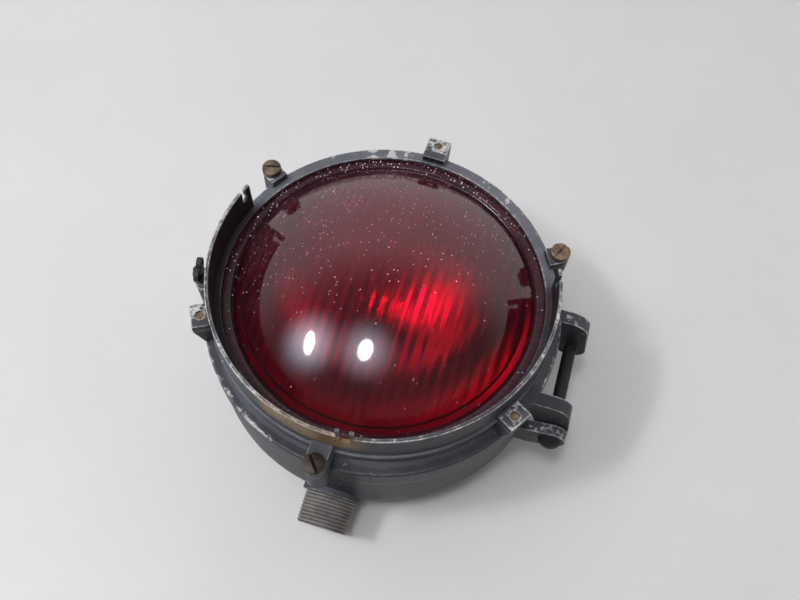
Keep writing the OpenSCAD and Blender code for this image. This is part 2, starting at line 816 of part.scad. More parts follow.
// Lug on the door: a flat top, a straight nose and a tapered corbel down to the shoulder
module lug(angle, width, nose) {
    in_r = lug_root(angle);
    end_r = screw_at(angle) + nose;
    nose_h = angle == bottom_angle ? bottom_nose_h : lug_nose_h;
    foot_z = angle == bottom_angle ? door_z + 1 : door_z + skirt_h - 2;
    radial_plate(angle + lug_turn, width)
        polygon([[in_r, lug_z], [end_r, lug_z], [end_r, lug_z - nose_h],
            [door_r - 1, foot_z], [neck_r - 2, foot_z], [neck_r - 2, land_z - land_t],
            [in_r, land_z - land_t]]);
}

// Lug whose nose is round about its screw
module round_lug(angle) {
    intersection() {
        lug(angle, 2 * ear_nose_r, ear_nose_r);
        rotate([0, 0, angle + lug_turn])
            linear_extrude(collar_z) {
                translate([screw_at(angle), 0]) circle(r = ear_nose_r);
                translate([0, -ear_nose_r]) square([screw_at(angle), 2 * ear_nose_r]);
            }
    }
}

// Cutter for a slot in the collar's edge
module slot_cut(angle, width, depth) {
    rotate([0, 0, angle])
        translate([collar_r - 2 * collar_t, -width / 2, collar_z - depth])
            cube([3 * collar_t, width, depth + prong_h + 1]);
}

// Cutter for a slot near the collar's end, with a round foot
module end_slot_cut(angle) {
    slot_cut(angle, end_slot_w, end_slot_depth - end_slot_r);
    rotate([0, 0, angle])
        translate([collar_r - 2 * collar_t, 0, collar_z - end_slot_depth + end_slot_r])
            rotate([0, 90, 0]) cylinder(r = end_slot_r, h = 3 * collar_t);
}

// Arc of the collar from its left end, under the lamp, to its right end
module collar() {
    slot_turn = (end_slot_w / 2 + tip_w) / collar_r * 180 / PI;
    first = top_angle + collar_end;
    sweep = 360 - 2 * collar_end;
    bottom = bottom_angle + bottom_slot_turn;
    difference() {
        union() {
            rotate([0, 0, first])
                rotate_extrude(angle = sweep)
                    translate([collar_r - collar_t, land_z - land_t])
                        square([collar_t, collar_h + land_t]);
            for (s = [-1, 1])
                rotate([0, 0, bottom])
                    translate([collar_r - collar_t, (s * (slot_w + prong_w) - prong_w) / 2,
                            collar_z - slot_depth])
                        cube([collar_t - 0.3, prong_w, slot_depth + prong_h]);
        }
        slot_cut(bottom, slot_w, slot_depth);
        end_slot_cut(first + slot_turn);
        end_slot_cut(first + sweep - slot_turn);
    }
}

// Arm of the door that reaches down to the hinge pin
module door_arm(y) {
    crown_r = 12;
    crown = [pin_x - 5, land_z - shoulder_h - skirt_h - crown_r + 5];
    root_x = skirt_in_r - 3;
    plate_at_y(y, arm_t) {
        tangent_bar(crown, crown_r, [pin_x, pin_z], knuckle_r);
        translate([root_x, door_z]) square([crown[0] - root_x, crown[1] + crown_r - door_z]);
    }
}

module door_section() {
    polygon([
        [skirt_in_r, door_z], [door_r, door_z], [door_r, door_z + skirt_h - 1.5],
        [door_r - 0.5, door_z + skirt_h - 0.4], [door_r - 1.6, door_z + skirt_h],
        [neck_r + 1, door_z + skirt_h + shoulder_h], [neck_r, door_z + skirt_h + shoulder_h + 1],
        [neck_r, land_z - land_t - 1], [land_r, land_z - land_t], [land_r, land_z],
        [opening_r, land_z], [opening_r, lip_z], [pocket_r, lip_z], [pocket_r, pocket_end_z],
        [skirt_in_r, pocket_end_z]
    ]);
}

module door_frame() {
    hinge_slot = land_z - land_t;
    color(paint)
    difference() {
        union() {
            rotate_extrude() door_section();
            collar();
            for (a = stub_angles) lug(a, lug_w, lug_nose);
            for (a = screw_angles) round_lug(a);
            intersection() {
                for (y = arm_ys) door_arm(y);
                difference() {
                    translate([0, -2 * arm_pitch, pin_z - 2 * knuckle_r])
                        cube([2 * pin_x, 4 * arm_pitch, hinge_slot - pin_z + 2 * knuckle_r]);
                    translate([0, 0, -1]) cylinder(r = skirt_in_r, h = 2 * land_z);
                    translate([0, 0, -1]) cylinder(r = housing_r + drum_gap, h = door_z + 1);
                }
            }
            rotate([0, 0, latch_angle])
                translate([0, 0, door_z]) {
                    translate([skirt_in_r + 1, -latch_lug_r, 0])
                        cube([latch_r - skirt_in_r - 1, 2 * latch_lug_r, skirt_h]);
                    translate([latch_r, 0, 0]) cylinder(r = latch_lug_r, h = latch_lug_h);
                }
        }
        for (a = concat(screw_angles, stub_angles))
            rotate([0, 0, a + lug_turn])
                translate([screw_at(a), 0, lug_z - screw_len - 1])
                    cylinder(r = screw_r + seat_gap, h = screw_len + 2);
        for (y = arm_ys)
            translate([pin_x, y + arm_t, pin_z])
                rotate([90, 0, 0]) cylinder(r = pin_r + run_gap, h = 2 * arm_t);
        rotate([0, 0, latch_angle])
            translate([latch_r, 0, door_z - 1])
                cylinder(r = wing_shank_r + run_gap, h = latch_lug_h + 2);
        translate([0, 0, snap_z])
            rotate_extrude() translate([pocket_r, 0]) circle(r = snap_r + 3 * seat_gap);
    }
}

// Hollow of the dome: a ball whose skin is scalloped by flutes that run up and down the lamp
module fluted_hollow() {
    translate([0, 0, ball_z])
        rotate([0, 90, 0])
            rotate_extrude()
                difference() {
                    intersection() {
                        circle(r = hollow_r);
                        translate([0, -hollow_r]) square([hollow_r, 2 * hollow_r]);
                    }
                    for (k = [-flute_count:flute_count])
                        let (x = k * flute_pitch, c = hollow_r + flute_r - flute_d)
                            translate([sqrt(c * c - x * x), x]) circle(r = flute_r);
                }
}

module lens() {
    color([0.45, 0.02, 0.05, 0.85])
    difference() {
        union() {
            translate([0, 0, lens_back_z]) cylinder(r = lens_r, h = lens_flange_t);
            intersection() {
                translate([0, 0, ball_z]) sphere(r = ball_r);
                translate([0, 0, lens_front_z - moat_d]) cylinder(r = dome_r, h = dome_h + moat_d + 1);
            }
        }
        ring(dome_r + moat_w, dome_r, lens_front_z - moat_d, moat_d + 1);
        intersection() {
            fluted_hollow();
            translate([0, 0, lens_back_z - 1]) cylinder(r = hollow_edge_r, h = dome_h + lens_flange_t);
        }
    }
}

module lens_seal() {
    color(black_rubber)
    ring(lens_r, opening_r + 0.3, lens_front_z, lens_seal_t);
}

module lens_cushion() {
    color(black_rubber)
    ring(lens_r, hollow_edge_r + 4, lens_back_z - cushion_t, cushion_t);
}

// Split wire ring that springs into the groove behind the lens
module snap_ring() {
    gap = 8;
    color(steel)
    translate([0, 0, snap_z])
        rotate([0, 0, top_angle + gap / 2])
            rotate_extrude(angle = 360 - gap) translate([pocket_r - 2 * seat_gap, 0]) circle(r = snap_r);
}

module lug_screws() {
    slot_t = 1.6;
    slot_d = 2;
    color(brass)
    for (i = [0:2])
        rotate([0, 0, screw_angles[i] + lug_turn])
            translate([screw_at(screw_angles[i]), 0, lug_z])
                difference() {
                    union() {
                        cylinder(r = screw_head_r, h = screw_head_h);
                        translate([0, 0, -screw_len]) cylinder(r = screw_r, h = screw_len + eps);
                    }
                    rotate([0, 0, slot_angles[i] - screw_angles[i] - lug_turn])
                        translate([-screw_head_r - 1, -slot_t / 2, screw_head_h - slot_d])
                            cube([2 * screw_head_r + 2, slot_t, slot_d + 1]);
                }
}

module lug_stubs() {
    color(brass)
    for (a = stub_angles)
        rotate([0, 0, a + lug_turn])
            translate([screw_at(a), 0, lug_z - screw_len])
                cylinder(r = screw_r, h = screw_len - stub_sink);
}

// Puts a shape on the latch screw's axis at a height
module on_latch(z) {
    rotate([0, 0, latch_angle]) translate([latch_r, 0, z]) children();
}

module latch_washer() {
    washer_r = wing_hub_r + 1.2;
    color(steel)
    on_latch(washer_z)
        difference() {
            cylinder(r = washer_r, h = washer_t);
            translate([0, 0, -1]) cylinder(r = wing_shank_r + run_gap, h = washer_t + 2);
        }
}

module wing_screw() {
    wing_rise = 4.8;
    root_r = 2.2;
    root = [1.2, root_r + 0.5];
    color(steel)
    on_latch(wing_z)
        rotate([0, 0, wing_lean])
            union() {
                cylinder(r = wing_hub_r, h = wing_hub_h);
                translate([0, 0, wing_tip_z - wing_z])
                    cylinder(r = wing_shank_r, h = wing_z - wing_tip_z + 1);
                translate([wing_t / 2, 0, 0])
                    rotate([90, 0, -90])
                        linear_extrude(wing_t)
                            for (s = [-1, 1])
                                tangent_bar([s * root[0], root[1]], root_r,
                                    [s * (wing_reach - wing_lobe_r), wing_rise], wing_lobe_r);
            }
}

housing();
stem_nipple();
stem_bushing();
door_seal();
hinge_pin();
cross_pin();
reflector();
reflector_screws();
socket_bracket();
bracket_screws();
socket_base();
socket_shell();
bulb_cap();
bulb_glass();
bulb_stem();
filament();
terminal_board();
board_screws();
terminal_studs();
terminal_nuts();
wire_tags();
lamp_leads();
door_frame();
lens();
lens_seal();
lens_cushion();
snap_ring();
lug_screws();
lug_stubs();
latch_washer();
wing_screw();
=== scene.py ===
"""Looks of the railroad signal lamp: chipped castings, ruby lens, pipe stem, screws and the lamp inside."""
import math

import bpy
import numpy as np
from mathutils import Matrix


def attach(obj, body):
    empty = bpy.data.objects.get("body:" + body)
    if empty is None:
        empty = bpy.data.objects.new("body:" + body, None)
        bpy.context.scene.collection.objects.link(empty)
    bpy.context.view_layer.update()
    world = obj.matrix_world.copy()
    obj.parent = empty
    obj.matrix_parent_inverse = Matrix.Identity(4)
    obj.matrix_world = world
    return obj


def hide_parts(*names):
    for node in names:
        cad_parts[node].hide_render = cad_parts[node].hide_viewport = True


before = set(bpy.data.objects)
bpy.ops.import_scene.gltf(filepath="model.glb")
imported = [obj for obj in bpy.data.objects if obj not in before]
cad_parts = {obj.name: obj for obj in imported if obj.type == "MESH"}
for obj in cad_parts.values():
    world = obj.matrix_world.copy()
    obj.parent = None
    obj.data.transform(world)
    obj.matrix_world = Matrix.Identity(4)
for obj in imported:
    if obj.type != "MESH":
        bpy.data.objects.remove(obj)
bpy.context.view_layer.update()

MM = 0.001
TURN = 2 * math.pi
SHARP = math.radians(38)
EDGE_RAYS = 8

# Sizes in millimetres, as the solids have them, but for the flutes, which are eased and so less deep here,
# and the thread, which the solids do not have
LAND_Z, NECK_Z, SHOULDER_Z = 112.1, 105.0, 95.4
COLLAR_Z = 135.5
LENS_BACK, LENS_FRONT, LENS_R = 101.1, 109.1, 104.3
DOME_R, DOME_H, GLASS_T = 93.6, 28.0, 6.5
DOME_BALL = (DOME_R ** 2 + DOME_H ** 2) / (2 * DOME_H)
DOME_MID = LENS_FRONT + DOME_H - DOME_BALL
FLUTE_PITCH, FLUTE_D = 6.7, 0.7
STEM_Z, STEM_R, STEM_SEAT_R, STEM_BORE = 28.0, 16.7, 15.9, 12.6
STEM_MOUTH_R, STEM_MOUTH_D = 13.3, 18.0
STEM_IN, BOSS_Y, STEM_TIP, STEM_LEAN = 83.1, 114.1, 135.1, math.radians(9.5)
LUG_Z, LUG_R, BOTTOM_LUG_R, LUG_TURN = 117.6, 113.5, 120.3, -1.5
HEAD_R, HEAD_H = 6.2, 5.0
THREAD_PITCH, THREAD_D = 2.209, 1.1


class Value:
    """One output socket of a finish; arithmetic on it adds Math nodes."""

    def __init__(self, finish, socket):
        self.finish = finish
        self.socket = socket

    def math(self, operation, *terms):
        """Result of one Math node."""
        return self.finish.add("Math", {"operation": operation}, dict(enumerate(terms)))

    def __add__(self, other):
        return self.math("ADD", self, other)

    def __radd__(self, other):
        return self.math("ADD", other, self)

    def __sub__(self, other):
        return self.math("SUBTRACT", self, other)

    def __rsub__(self, other):
        return self.math("SUBTRACT", other, self)

    def __mul__(self, other):
        return self.math("MULTIPLY", self, other)

    def __rmul__(self, other):
        return self.math("MULTIPLY", other, self)

    def __truediv__(self, other):
        return self.math("DIVIDE", self, other)

    def __pow__(self, other):
        return self.math("POWER", self, other)

    def __abs__(self):
        return self.math("ABSOLUTE", self)

    def most(self, other):
        """The larger of two values."""
        return self.math("MAXIMUM", self, other)

    def rise(self, low, high):
        """Smooth step from 0 at low to 1 at high; a low above high gives a smooth fall."""
        if low > high:
            return 1 - self.rise(high, low)
        return self.finish.add("MapRange", {"interpolation_type": "SMOOTHSTEP"},
                               {"Value": self, "From Min": low, "From Max": high})

    def band(self, middle, half, soft):
        """1 where this value is within half of middle, fading out over soft."""
        return abs(self - middle).rise(half + soft, half)


class Nodes:
    """The node tree of a material, lamp or world, emptied and ready to be filled."""

    def __init__(self, owner):
        owner.use_nodes = True
        self.tree = owner.node_tree
        self.tree.nodes.clear()

    def add(self, kind, settings=None, sockets=None, out=0):
        """Adds any node: its settings first, then the values or links of its sockets; returns one output."""
        node = self.tree.nodes.new("ShaderNode" + kind)
        for key, setting in (settings or {}).items():
            setattr(node, key, setting)
        for key, given in (sockets or {}).items():
            socket = node.inputs[key]
            if isinstance(given, Value):
                self.tree.links.new(given.socket, socket)
            elif isinstance(given, tuple) and len(given) == 3 and socket.type == "RGBA":
                socket.default_value = (*given, 1.0)
            else:
                socket.default_value = given
        return Value(self, node.outputs[out]) if len(node.outputs) else None

    def mix(self, factor, first, second):
        """Colour first where factor is 0, second where it is 1."""
        return self.add("Mix", {"data_type": "RGBA"}, {0: factor, 6: first, 7: second}, out=2)


class Finish(Nodes):
    """A node material under construction, with its place on the lamp in millimetres."""

    def __init__(self, name):
        self.material = bpy.data.materials.new(name)
        super().__init__(self.material)
        where = self.add("TexCoord", out="Object")
        self.mm = self.add("VectorMath", {"operation": "SCALE"}, {"Vector": where, "Scale": 1 / MM})

    def noise(self, size, detail=3.0, rough=0.55, shift=(0.0, 0.0, 0.0), stretch=(1.0, 1.0, 1.0)):
        """Cloudy noise, about 0.5 in the middle, with lumps of the given size in millimetres."""
        where = self.add("Mapping", None, {"Vector": self.mm, "Location": shift, "Scale": stretch})
        sockets = {"Vector": where, "Scale": 1.0 / size, "Detail": detail, "Roughness": rough}
        return self.add("TexNoise", None, sockets)

    def specks(self, size, radius, share, shift=(0.0, 0.0, 0.0)):
        """Round specks, seen from above, in a share of the cells of a size; sizes in millimetres."""
        where = self.add("Mapping", None, {"Vector": self.mm, "Location": shift})
        flat, sockets = {"voronoi_dimensions": "2D"}, {"Vector": where, "Scale": 1.0 / size}
        away = self.add("TexVoronoi", flat, sockets) * size
        tint = self.add("TexVoronoi", flat, sockets, out="Color")
        chance = self.add("SeparateColor", None, {"Color": tint})
        return away.rise(radius, radius * 0.5) * (chance + share).rise(1.0, 1.03)

    def axis(self, letter):
        """One coordinate in millimetres."""
        return self.add("SeparateXYZ", None, {"Vector": self.mm}, out="XYZ".index(letter))

    def radius(self):
        """Distance from the lens axis in millimetres."""
        x, y = self.axis("X"), self.axis("Y")
        return (x * x + y * y) ** 0.5

    def upward(self):
        """Height part of the surface normal: 1 on faces that look up."""
        normal = self.add("NewGeometry", out="Normal")
        return self.add("SeparateXYZ", None, {"Vector": normal}, out=2)

    def edge(self, radius):
        """How far the normal bends within a radius in millimetres: 0 on plain faces, larger at edges."""
        bent = self.round_normal(radius)
        plain = self.add("NewGeometry", out="Normal")
        return 1 - self.add("VectorMath", {"operation": "DOT_PRODUCT"}, {0: bent, 1: plain}, out=1)

    def openness(self, reach):
        """1 on open faces and outer edges, less in corners, over a reach in millimetres."""
        settings = {"samples": EDGE_RAYS, "only_local": True}
        return self.add("AmbientOcclusion", settings, {"Distance": reach * MM}, out=1)

    def bump(self, height, depth, normal=None):
        """Normal of a relief whose full height is depth in millimetres."""
        sockets = {"Height": height, "Strength": 1.0, "Distance": depth * MM}
        if normal is not None:
            sockets["Normal"] = normal
        return self.add("Bump", None, sockets)

    def round_normal(self, radius):
        """Normal of edges eased to a radius in millimetres."""
        return self.add("Bevel", {"samples": EDGE_RAYS}, {"Radius": radius * MM})

    def surface(self, **sockets):
        """Principled shader; the names are its sockets with low lines for spaces."""
        named = {key.replace("_", " "): value for key, value in sockets.items()}
        return self.add("BsdfPrincipled", None, named)

    def done(self, shader):
        """The material, ended with a shader."""
        self.add("OutputMaterial", None, {"Surface": shader})
        return self.material


def painted_casting(name, shift):
    """Slate-black paint on a pale casting: rubbed grey in patches, chipped at outer edges, stained and dusty.

    Zones of wear: the collar's brim, the land with cream patches on its far side, the shoulder on the latch
    side and the tops of lugs and hinge arms. Painted light lightens the neck beside the stem; painted shade
    darkens the faces within the collar and the paint in corners."""
    f = Finish(name)
    x, y, z, r = f.axis("X"), f.axis("Y"), f.axis("Z"), f.radius()
    up = f.upward()
    clouds = f.noise(38, 4, shift=shift)
    patches = f.noise(10, 5, 0.65, shift=shift)
    fine = f.noise(2.2, 3, shift=shift)
    grit = f.noise(0.7, 2, shift=shift)
    ragged = f.noise(5, 6, 0.7, shift=shift)
    streaks = f.noise(2.6, 3, 0.6, shift=shift, stretch=(0.25, 0.25, 1.6))
    prongs = z.rise(COLLAR_Z + 0.4, COLLAR_Z + 1.0)
    brim = z.rise(COLLAR_Z - 2.2, COLLAR_Z - 0.8) * (1 - prongs)
    land = z.band(LAND_Z, 1.2, 0.4) * r.rise(100.5, 101.5)
    far_land = land * y.rise(55, 85)
    blotches = f.noise(8, 3, 0.5, shift=shift) + 0.09 * x.band(-22, 22, 12)
    cream = far_land * blotches.rise(0.65, 0.70)
    latch_side = (0.75 * x + 0.65 * y).rise(-55, -95)
    shoulder = r.rise(110.8, 112.4) * z.band(SHOULDER_Z, 1.4, 1.2) * latch_side
    lug_tops = r.rise(107.4, 108.6) * z.band(LUG_Z, 1.0, 0.5) * y.rise(-108, -100)
    arm_tops = x.rise(104, 112) * up.rise(0.2, 0.6) * z.rise(98, 96)
    left = x.rise(-75, -112) * r.rise(107, 108)
    # Painted light: the neck beside the stem lies in shade, so the rubbed grey lightens it
    neck_painted_light = r.rise(103.6, 104.6) * z.band(NECK_Z, 5, 2) * y.rise(-50, -90)
    # Painted shade: the faces within the collar, which the collar shades, are painted near black; they also
    # get fewer chips, no rubbing and less dust
    within = r.rise(105.4, 104.9) * z.rise(LAND_Z - 4, LAND_Z - 3) * y.rise(45, 25)
    nicks = f.noise(3.2, 2, shift=shift).rise(0.70, 0.74) * clouds.rise(0.42, 0.6)
    favoured = (brim * 0.16 + far_land * 0.10 + shoulder * 0.24 + lug_tops * (0.18 + 0.14 * y.rise(60, 100))
                + arm_tops * 0.19 + left * 0.06 - prongs * 0.25)
    outer_edge = f.openness(7).rise(0.55, 0.85)
    edge = (f.edge(1.6) * 1.1 + f.edge(3.2) * 0.5) * outer_edge
    chips = edge + favoured + (ragged - 0.5) * 1.1 + (clouds - 0.5) * 0.7
    bare = chips.rise(0.26, 0.33).most(nicks * 0.8) * (1 - within * 0.8)
    # Rubbed grey: wear in patches, at edges and on the left, plus painted light on the neck
    rubs_and_lit_neck = patches + left * 0.10 + neck_painted_light * 0.28 + edge * 0.25 + (streaks - 0.5) * 0.35
    rubbed = rubs_and_lit_neck.rise(0.50, 0.74) * (1 - within)
    dust = up.rise(0.35, 0.95) * (1 - within) * (0.12 + 0.22 * clouds.rise(0.4, 0.75) * fine)
    paint = f.mix(clouds.rise(0.35, 0.7), (0.013, 0.0135, 0.017), (0.026, 0.027, 0.034))
    paint = f.mix(rubbed * 0.45, paint, (0.105, 0.107, 0.118))
    paint = f.mix(land * (0.15 + 0.50 * patches), paint, (0.17, 0.175, 0.195))
    # Painted shade on the faces within the collar
    paint = f.mix(within * 0.8, paint, (0.012, 0.006, 0.008))
    paint = f.mix(dust, paint, (0.27, 0.275, 0.30))
    # Painted shade: paint darkened in corners and recesses, where neighbouring parts shade it
    paint = f.mix(f.openness(9).rise(0.75, 0.35) * 0.2, paint, (0.012, 0.010, 0.009))
    metal = f.mix(fine.rise(0.3, 0.7), (0.26, 0.245, 0.23), (0.64, 0.62, 0.59))
    colour = f.mix(cream * 0.85, f.mix(bare, paint, metal), (0.50, 0.48, 0.44))
    rust = stain(f, clouds, ragged)
    colour = f.mix(rust, colour, f.mix(fine, (0.15, 0.078, 0.022), (0.31, 0.19, 0.065)))
    rough = 0.26 + 0.20 * clouds + 0.10 * fine + rubbed * 0.12 + bare * 0.15 + dust * 0.3 + within * 0.2
    relief = (1 - bare) * 0.5 + fine * 0.18 + grit * 0.10 + streaks * 0.08
    normal = f.bump(relief, 0.28, f.round_normal(0.7))
    return f.done(f.surface(Base_Color=colour, Roughness=rough, Metallic=bare * 0.35, Normal=normal,
                            Specular_IOR_Level=0.24))


def stain(f, clouds, ragged):
    """Ochre run-off on the collar's outer face, on both sides of the bottom slot."""
    x, y, z = f.axis("X"), f.axis("Y"), f.axis("Z")
    near = y.rise(-95, -101) * x.band(-14, 24, 16) * z.band(127, 6, 5)
    near = near * f.radius().rise(107.6, 107.2)
    return near * (ragged + clouds * 0.5).rise(0.52, 0.8) * 0.9


def ruby_glass():
    """Deep red pressed glass, painted a near opaque maroon in its flange as painted shade, dusty and specked
    on the side away from the stem, where a pale film is partly dust and partly painted reflection of the
    room.

    The hollow is dull, as pressing leaves it, and clearer round one place on the hinge side of the middle."""
    f = Finish("ruby_glass")
    x, y, z, r = f.axis("X"), f.axis("Y"), f.axis("Z"), f.radius()
    clear_x, clear_y = 26.0, -6.0
    above = z - DOME_MID
    front = ((x * x + y * y + above * above) ** 0.5).rise(DOME_BALL - 3.0, DOME_BALL - 1.5)
    patches = f.noise(24, 4, shift=(3, 8, 1))
    clumps = f.noise(11, 4, 0.6, shift=(7, 2, 4)).rise(0.42, 0.66)
    mottle = f.noise(1.6, 4, 0.65)
    upper = (y * 0.8 - x * 0.45).rise(-40, 85)
    flange = r.rise(DOME_R - 0.4, DOME_R + 0.6) * front
    share = 0.03 + 0.46 * upper * (0.25 + 0.75 * clumps)
    faint = f.specks(1.7, 0.30, share) * 0.30
    bright = f.specks(2.5, 0.48, share, (2, 5, 0)) * 0.90
    # The film is dust and also painted reflection: a pale pink veil on the upper side stands in for the room
    # mirrored in the dome
    film = 0.008 + 0.055 * upper * patches.rise(0.2, 0.7)
    film = film * (1 - 0.7 * flange) * mottle.rise(0.2, 0.8)
    grains = faint.most(bright)
    cover = grains.most(film) * front
    polished = 0.03 + 0.04 * patches.rise(0.45, 0.8)
    away_x, away_y = x - clear_x, y - clear_y
    away = (away_x * away_x + away_y * away_y) ** 0.5
    pressed = 0.16 + 0.12 * upper + 0.24 * away.rise(28, 58) + 0.10 * r.rise(62, 84)
    rough = pressed + front * (polished - pressed)
    glass = f.surface(Base_Color=(0.75, 0.03, 0.11), Roughness=rough, IOR=1.5, Transmission_Weight=1.0)
    # Painted shade: the flange is a near opaque dark maroon, standing in for the shaded pocket seen through
    # the glass
    shade_maroon = f.mix(patches, (0.020, 0.0035, 0.007), (0.042, 0.007, 0.013))
    flange_painted_shade = f.surface(Base_Color=shade_maroon, Roughness=0.22)
    grain = f.mix(flange, (1.0, 0.40, 0.52), (0.97, 0.80, 0.84))
    dusty = f.mix(grains.rise(0.1, 0.4), (0.84, 0.35, 0.44), grain)
    # Dust specks, and the film's veil, which is painted reflection
    dust_and_veil = f.surface(Base_Color=dusty, Roughness=0.9)
    body = f.add("MixShader", None, {0: flange * 0.85, 1: glass, 2: flange_painted_shade})
    return f.done(f.add("MixShader", None, {0: cover, 1: body, 2: dust_and_veil}))


def aged_brass(name, shift, tone=1.0):
    """Brown oxidised brass, brighter at rubbed edges, with painted shade that blackens narrow slots and
    corners; tone scales its colours.
    """
    f = Finish(name)
    clouds = f.noise(4.5, 4, shift=shift)
    fine = f.noise(0.6, 3, shift=shift)
    rubbed = (f.edge(0.5) * 2.5 + clouds * 0.6).rise(0.45, 0.8)
    tones = tone * np.array([(0.085, 0.060, 0.038), (0.22, 0.160, 0.110), (0.42, 0.33, 0.21)])
    dark, brown, bright = (tuple(map(float, row)) for row in tones)
    colour = f.mix(rubbed * 0.6, f.mix(clouds.rise(0.3, 0.7), dark, brown), bright)
    # Painted shade: near black in slots and corners
    colour = f.mix(f.openness(3).rise(0.65, 0.40), colour, (0.006, 0.005, 0.004))
    rough = 0.42 + 0.25 * fine
    normal = f.bump(fine, 0.06, f.round_normal(0.35))
    return f.done(f.surface(Base_Color=colour, Roughness=rough, Metallic=0.75, Normal=normal))


def dark_steel(name, shift):
    """Oxidised steel with brown rust in patches and a few rubbed spots."""
    f = Finish(name)
    clouds = f.noise(7, 4, shift=shift)
    fine = f.noise(0.8, 3, shift=shift)
    rubbed = (f.edge(0.6) * 2.0 + fine * 0.5).rise(0.5, 0.8)
    colour = f.mix(clouds.rise(0.5, 0.75), (0.030, 0.030, 0.033), (0.085, 0.055, 0.036))
    colour = f.mix(rubbed * 0.6, colour, (0.32, 0.31, 0.30))
    normal = f.bump(fine, 0.08, f.round_normal(0.4))
    rough = 0.42 + 0.3 * clouds
    return f.done(f.surface(Base_Color=colour, Roughness=rough, Metallic=0.7, Normal=normal))


def pipe_thread():
    """Grey-brown pipe: rubbed crests, dirt in the roots of the thread."""
    f = Finish("pipe_thread")
    groove = f.add("Attribute", {"attribute_name": "groove"}, out="Fac")
    clouds = f.noise(9, 4)
    fine = f.noise(0.7, 3)
    bare = f.mix(clouds.rise(0.3, 0.7), (0.21, 0.19, 0.17), (0.37, 0.345, 0.32))
    colour = f.mix(groove.rise(0.2, 0.9) * 0.6, bare, (0.045, 0.040, 0.035))
    rough = 0.50 + 0.30 * groove
    normal = f.bump(fine, 0.08)
    return f.done(f.surface(Base_Color=colour, Roughness=rough, Metallic=0.65, Normal=normal))


def silvered():
    """Silvered reflector: tarnish clouds, fine spinning marks, and painted shade as a dark rim and a dark
    zone beside the bulb.
    """
    f = Finish("silvered_bowl")
    x, y, r = f.axis("X"), f.axis("Y"), f.radius()
    clouds = f.noise(26, 4)
    along = f.add("CombineXYZ", None, {0: r * 1.6, 1: 0.0, 2: 0.0})
    rings = f.add("TexNoise", None, {"Vector": along, "Scale": 1.0})
    # Painted shade: a zone left of the bulb is darkened, dimming the red patch the reflector shows through
    # the lens
    painted_shade_zone = (x * 0.8 - y * 0.2).rise(19, 4) * r.rise(58, 38) * 0.85
    colour = f.mix(clouds.rise(0.4, 0.8), (0.80, 0.79, 0.77), (0.46, 0.43, 0.39))
    # Painted shade: the rim is darkened so the lens's edges stay dark
    colour = f.mix(r.rise(68, 88), colour, (0.10, 0.085, 0.075))
    colour = f.mix(painted_shade_zone, colour, (0.12, 0.095, 0.085))
    rough = 0.07 + 0.10 * clouds + 0.04 * rings
    return f.done(f.surface(Base_Color=colour, Roughness=rough, Metallic=1.0))


def plain_moulding(name, dark, pale, size, rough, metal=0.0, depth=0.05):
    """Any small inside piece: two tones in clouds of a size, with a fine grain."""
    f = Finish(name)
    clouds = f.noise(size, 4)
    fine = f.noise(size / 8, 3)
    colour = f.mix(clouds.rise(0.3, 0.7), dark, pale)
    normal = f.bump(fine, depth)
    return f.done(f.surface(Base_Color=colour, Roughness=rough + 0.15 * fine, Metallic=metal, Normal=normal))


def blown_glass():
    """Clear bulb glass with a faint grey film."""
    f = Finish("blown_glass")
    clouds = f.noise(12, 3)
    colour = f.mix(clouds, (0.97, 0.97, 0.96), (0.88, 0.88, 0.86))
    rough = 0.02 + 0.05 * clouds
    return f.done(f.surface(Base_Color=colour, Roughness=rough, IOR=1.45, Transmission_Weight=1.0))


def place(name, data):
    """New object of the scene, at the origin, that shows the given mesh, lamp or camera."""
    ob = bpy.data.objects.new(name, data)
    bpy.context.scene.collection.objects.link(ob)
    return ob


def stand(ob, axes, where):
    """Turns an object's x, y and z to three axes of the lamp's frame and moves it to a place in metres."""
    rows = [[axis[i] for axis in axes] + [where[i]] for i in range(3)]
    ob.matrix_world = Matrix(rows + [[0, 0, 0, 1]])


